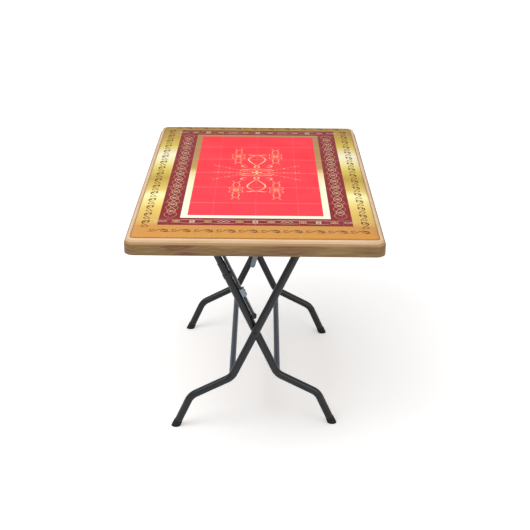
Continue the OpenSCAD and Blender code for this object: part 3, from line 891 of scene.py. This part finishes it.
def makeFeet():
    lean = math.radians(leg["footLean"])
    floorX = leg["outerX"] + leg["outerZ"] * math.tan(lean)
    for sideX, y, word in ((-1, leg["outerY"], "outer"), (1, leg["innerY"], "inner")):
        made = [makeFootCap("cap", sideX * floorX, side * y, -sideX * lean) for side in (-1, 1)]
        caps = joinPieces(made)
        settle(caps, word + "FootCapPair", footRubber, word + "_frame", 30)
        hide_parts(word + "_foot_caps")
    print("foot caps made")


makeFeet()

# the nodes that stay get their finishes

finishes = {
    "frame_paint": powderCoat, "stretcher_paint": blueCoat, "rubber": footRubber,
    "plated_steel": platedSteel, "zinc_hardware": zincFinish, "grip_plastic": gripPlastic,
    "black_plastic": blackPlastic, "nylon": nylonFinish, "printed_skin": printFinish,
    "board_moulding": woodFinish,
}
for part in frame["record"]["subparts"]:
    node = frame["nodes"][part["node"]]
    for materialSlot in node.material_slots:
        materialSlot.material = finishes[part["material_slot"]]
print("frame finishes set")

# stage, light and camera

stageLook = {"floorSize": 90.0, "floorTone": (0.93, 0.93, 0.93, 1), "seen": 1.0, "cast": 0.5,
             "nearLift": 0.33, "farLift": 0.62, "liftFrom": 0.9, "liftTo": 2.4}


def makeStage():
    clearSelection()
    bpy.ops.mesh.primitive_plane_add(size=stageLook["floorSize"], location=(0, 0, 0))
    floor = bpy.context.object
    floor.name = "studioFloor"
    material = bpy.data.materials.new("paleFloor")
    material.use_nodes = True
    shader = material.node_tree.nodes["Principled BSDF"]
    shader.inputs["Base Color"].default_value = stageLook["floorTone"]
    shader.inputs["Roughness"].default_value = 0.9
    shader.inputs["Specular IOR Level"].default_value = 0.0
    shader.inputs["Emission Color"].default_value = (1, 1, 1, 1)
    tree = material.node_tree
    distance = addNode(tree, "ShaderNodeVectorMath", operation="LENGTH")
    tree.links.new(addNode(tree, "ShaderNodeTexCoord").outputs["Object"], distance.inputs[0])
    # the far floor is lifted to the backdrop's white
    lift = addNode(tree, "ShaderNodeMapRange")
    lift.inputs["From Min"].default_value = stageLook["liftFrom"]
    lift.inputs["From Max"].default_value = stageLook["liftTo"]
    lift.inputs["To Min"].default_value = stageLook["nearLift"]
    lift.inputs["To Max"].default_value = stageLook["farLift"]
    tree.links.new(distance.outputs["Value"], lift.inputs["Value"])
    seen = addNode(tree, "ShaderNodeLightPath").outputs["Is Camera Ray"]
    tree.links.new(mathNode(tree, "MULTIPLY", seen, lift.outputs[0]), shader.inputs["Emission Strength"])
    floor.data.materials.append(material)
    world = bpy.data.worlds.new("studio")
    world.use_nodes = True
    background = world.node_tree.nodes["Background"]
    background.inputs[0].default_value = (1, 1, 1, 1)
    # the backdrop is seen brighter than it lights
    strength = addNode(world.node_tree, "ShaderNodeMapRange")
    strength.inputs["To Min"].default_value = stageLook["cast"]
    strength.inputs["To Max"].default_value = stageLook["seen"]
    seen = addNode(world.node_tree, "ShaderNodeLightPath").outputs["Is Camera Ray"]
    world.node_tree.links.new(seen, strength.inputs["Value"])
    world.node_tree.links.new(strength.outputs[0], background.inputs[1])
    bpy.context.scene.world = world


softboxes = {    # place, what it faces, width and height, watts
    "keySoftbox": ((-1.5, -1.2, 3.0), (0, 0, 0.6), (2.0, 2.0), 46),
    "fillSoftbox": ((2.4, -2.2, 1.8), (0, 0, 0.5), (2.0, 2.0), 20),
    "overheadSoftbox": ((0.2, 0.3, 3.4), (0, 0, 0.7), (2.4, 2.4), 24),
}


def addLight(name, place, target, size, energy):
    light = bpy.data.lights.new(name, "AREA")
    light.shape = "RECTANGLE"
    light.size = size[0]
    light.size_y = size[1]
    light.energy = energy
    lamp = bpy.data.objects.new(name, light)
    bpy.context.scene.collection.objects.link(lamp)
    lamp.location = place
    lamp.rotation_euler = (Vector(target) - Vector(place)).to_track_quat("-Z", "Y").to_euler()


view = {"place": (0.0204, -3.329, 1.8146), "pitch": 22.74, "yaw": 0.18, "roll": 0.62, "lens": 71.35}


def makeCamera():
    camera = bpy.data.cameras.new("tableCamera")
    camera.lens = view["lens"]
    camera.sensor_width = 36.0
    holder = bpy.data.objects.new("tableCamera", camera)
    bpy.context.scene.collection.objects.link(holder)
    turn = (Matrix.Rotation(math.radians(-view["yaw"]), 4, "Z")
            @ Matrix.Rotation(math.radians(90 - view["pitch"]), 4, "X")
            @ Matrix.Rotation(math.radians(view["roll"]), 4, "Z"))
    holder.matrix_world = Matrix.Translation(view["place"]) @ turn
    bpy.context.scene.camera = holder


makeStage()
for softbox, setting in softboxes.items():
    addLight(softbox, *setting)
makeCamera()
bpy.context.scene.view_settings.view_transform = "Standard"
print("stage, light and camera made")

clearSelection()
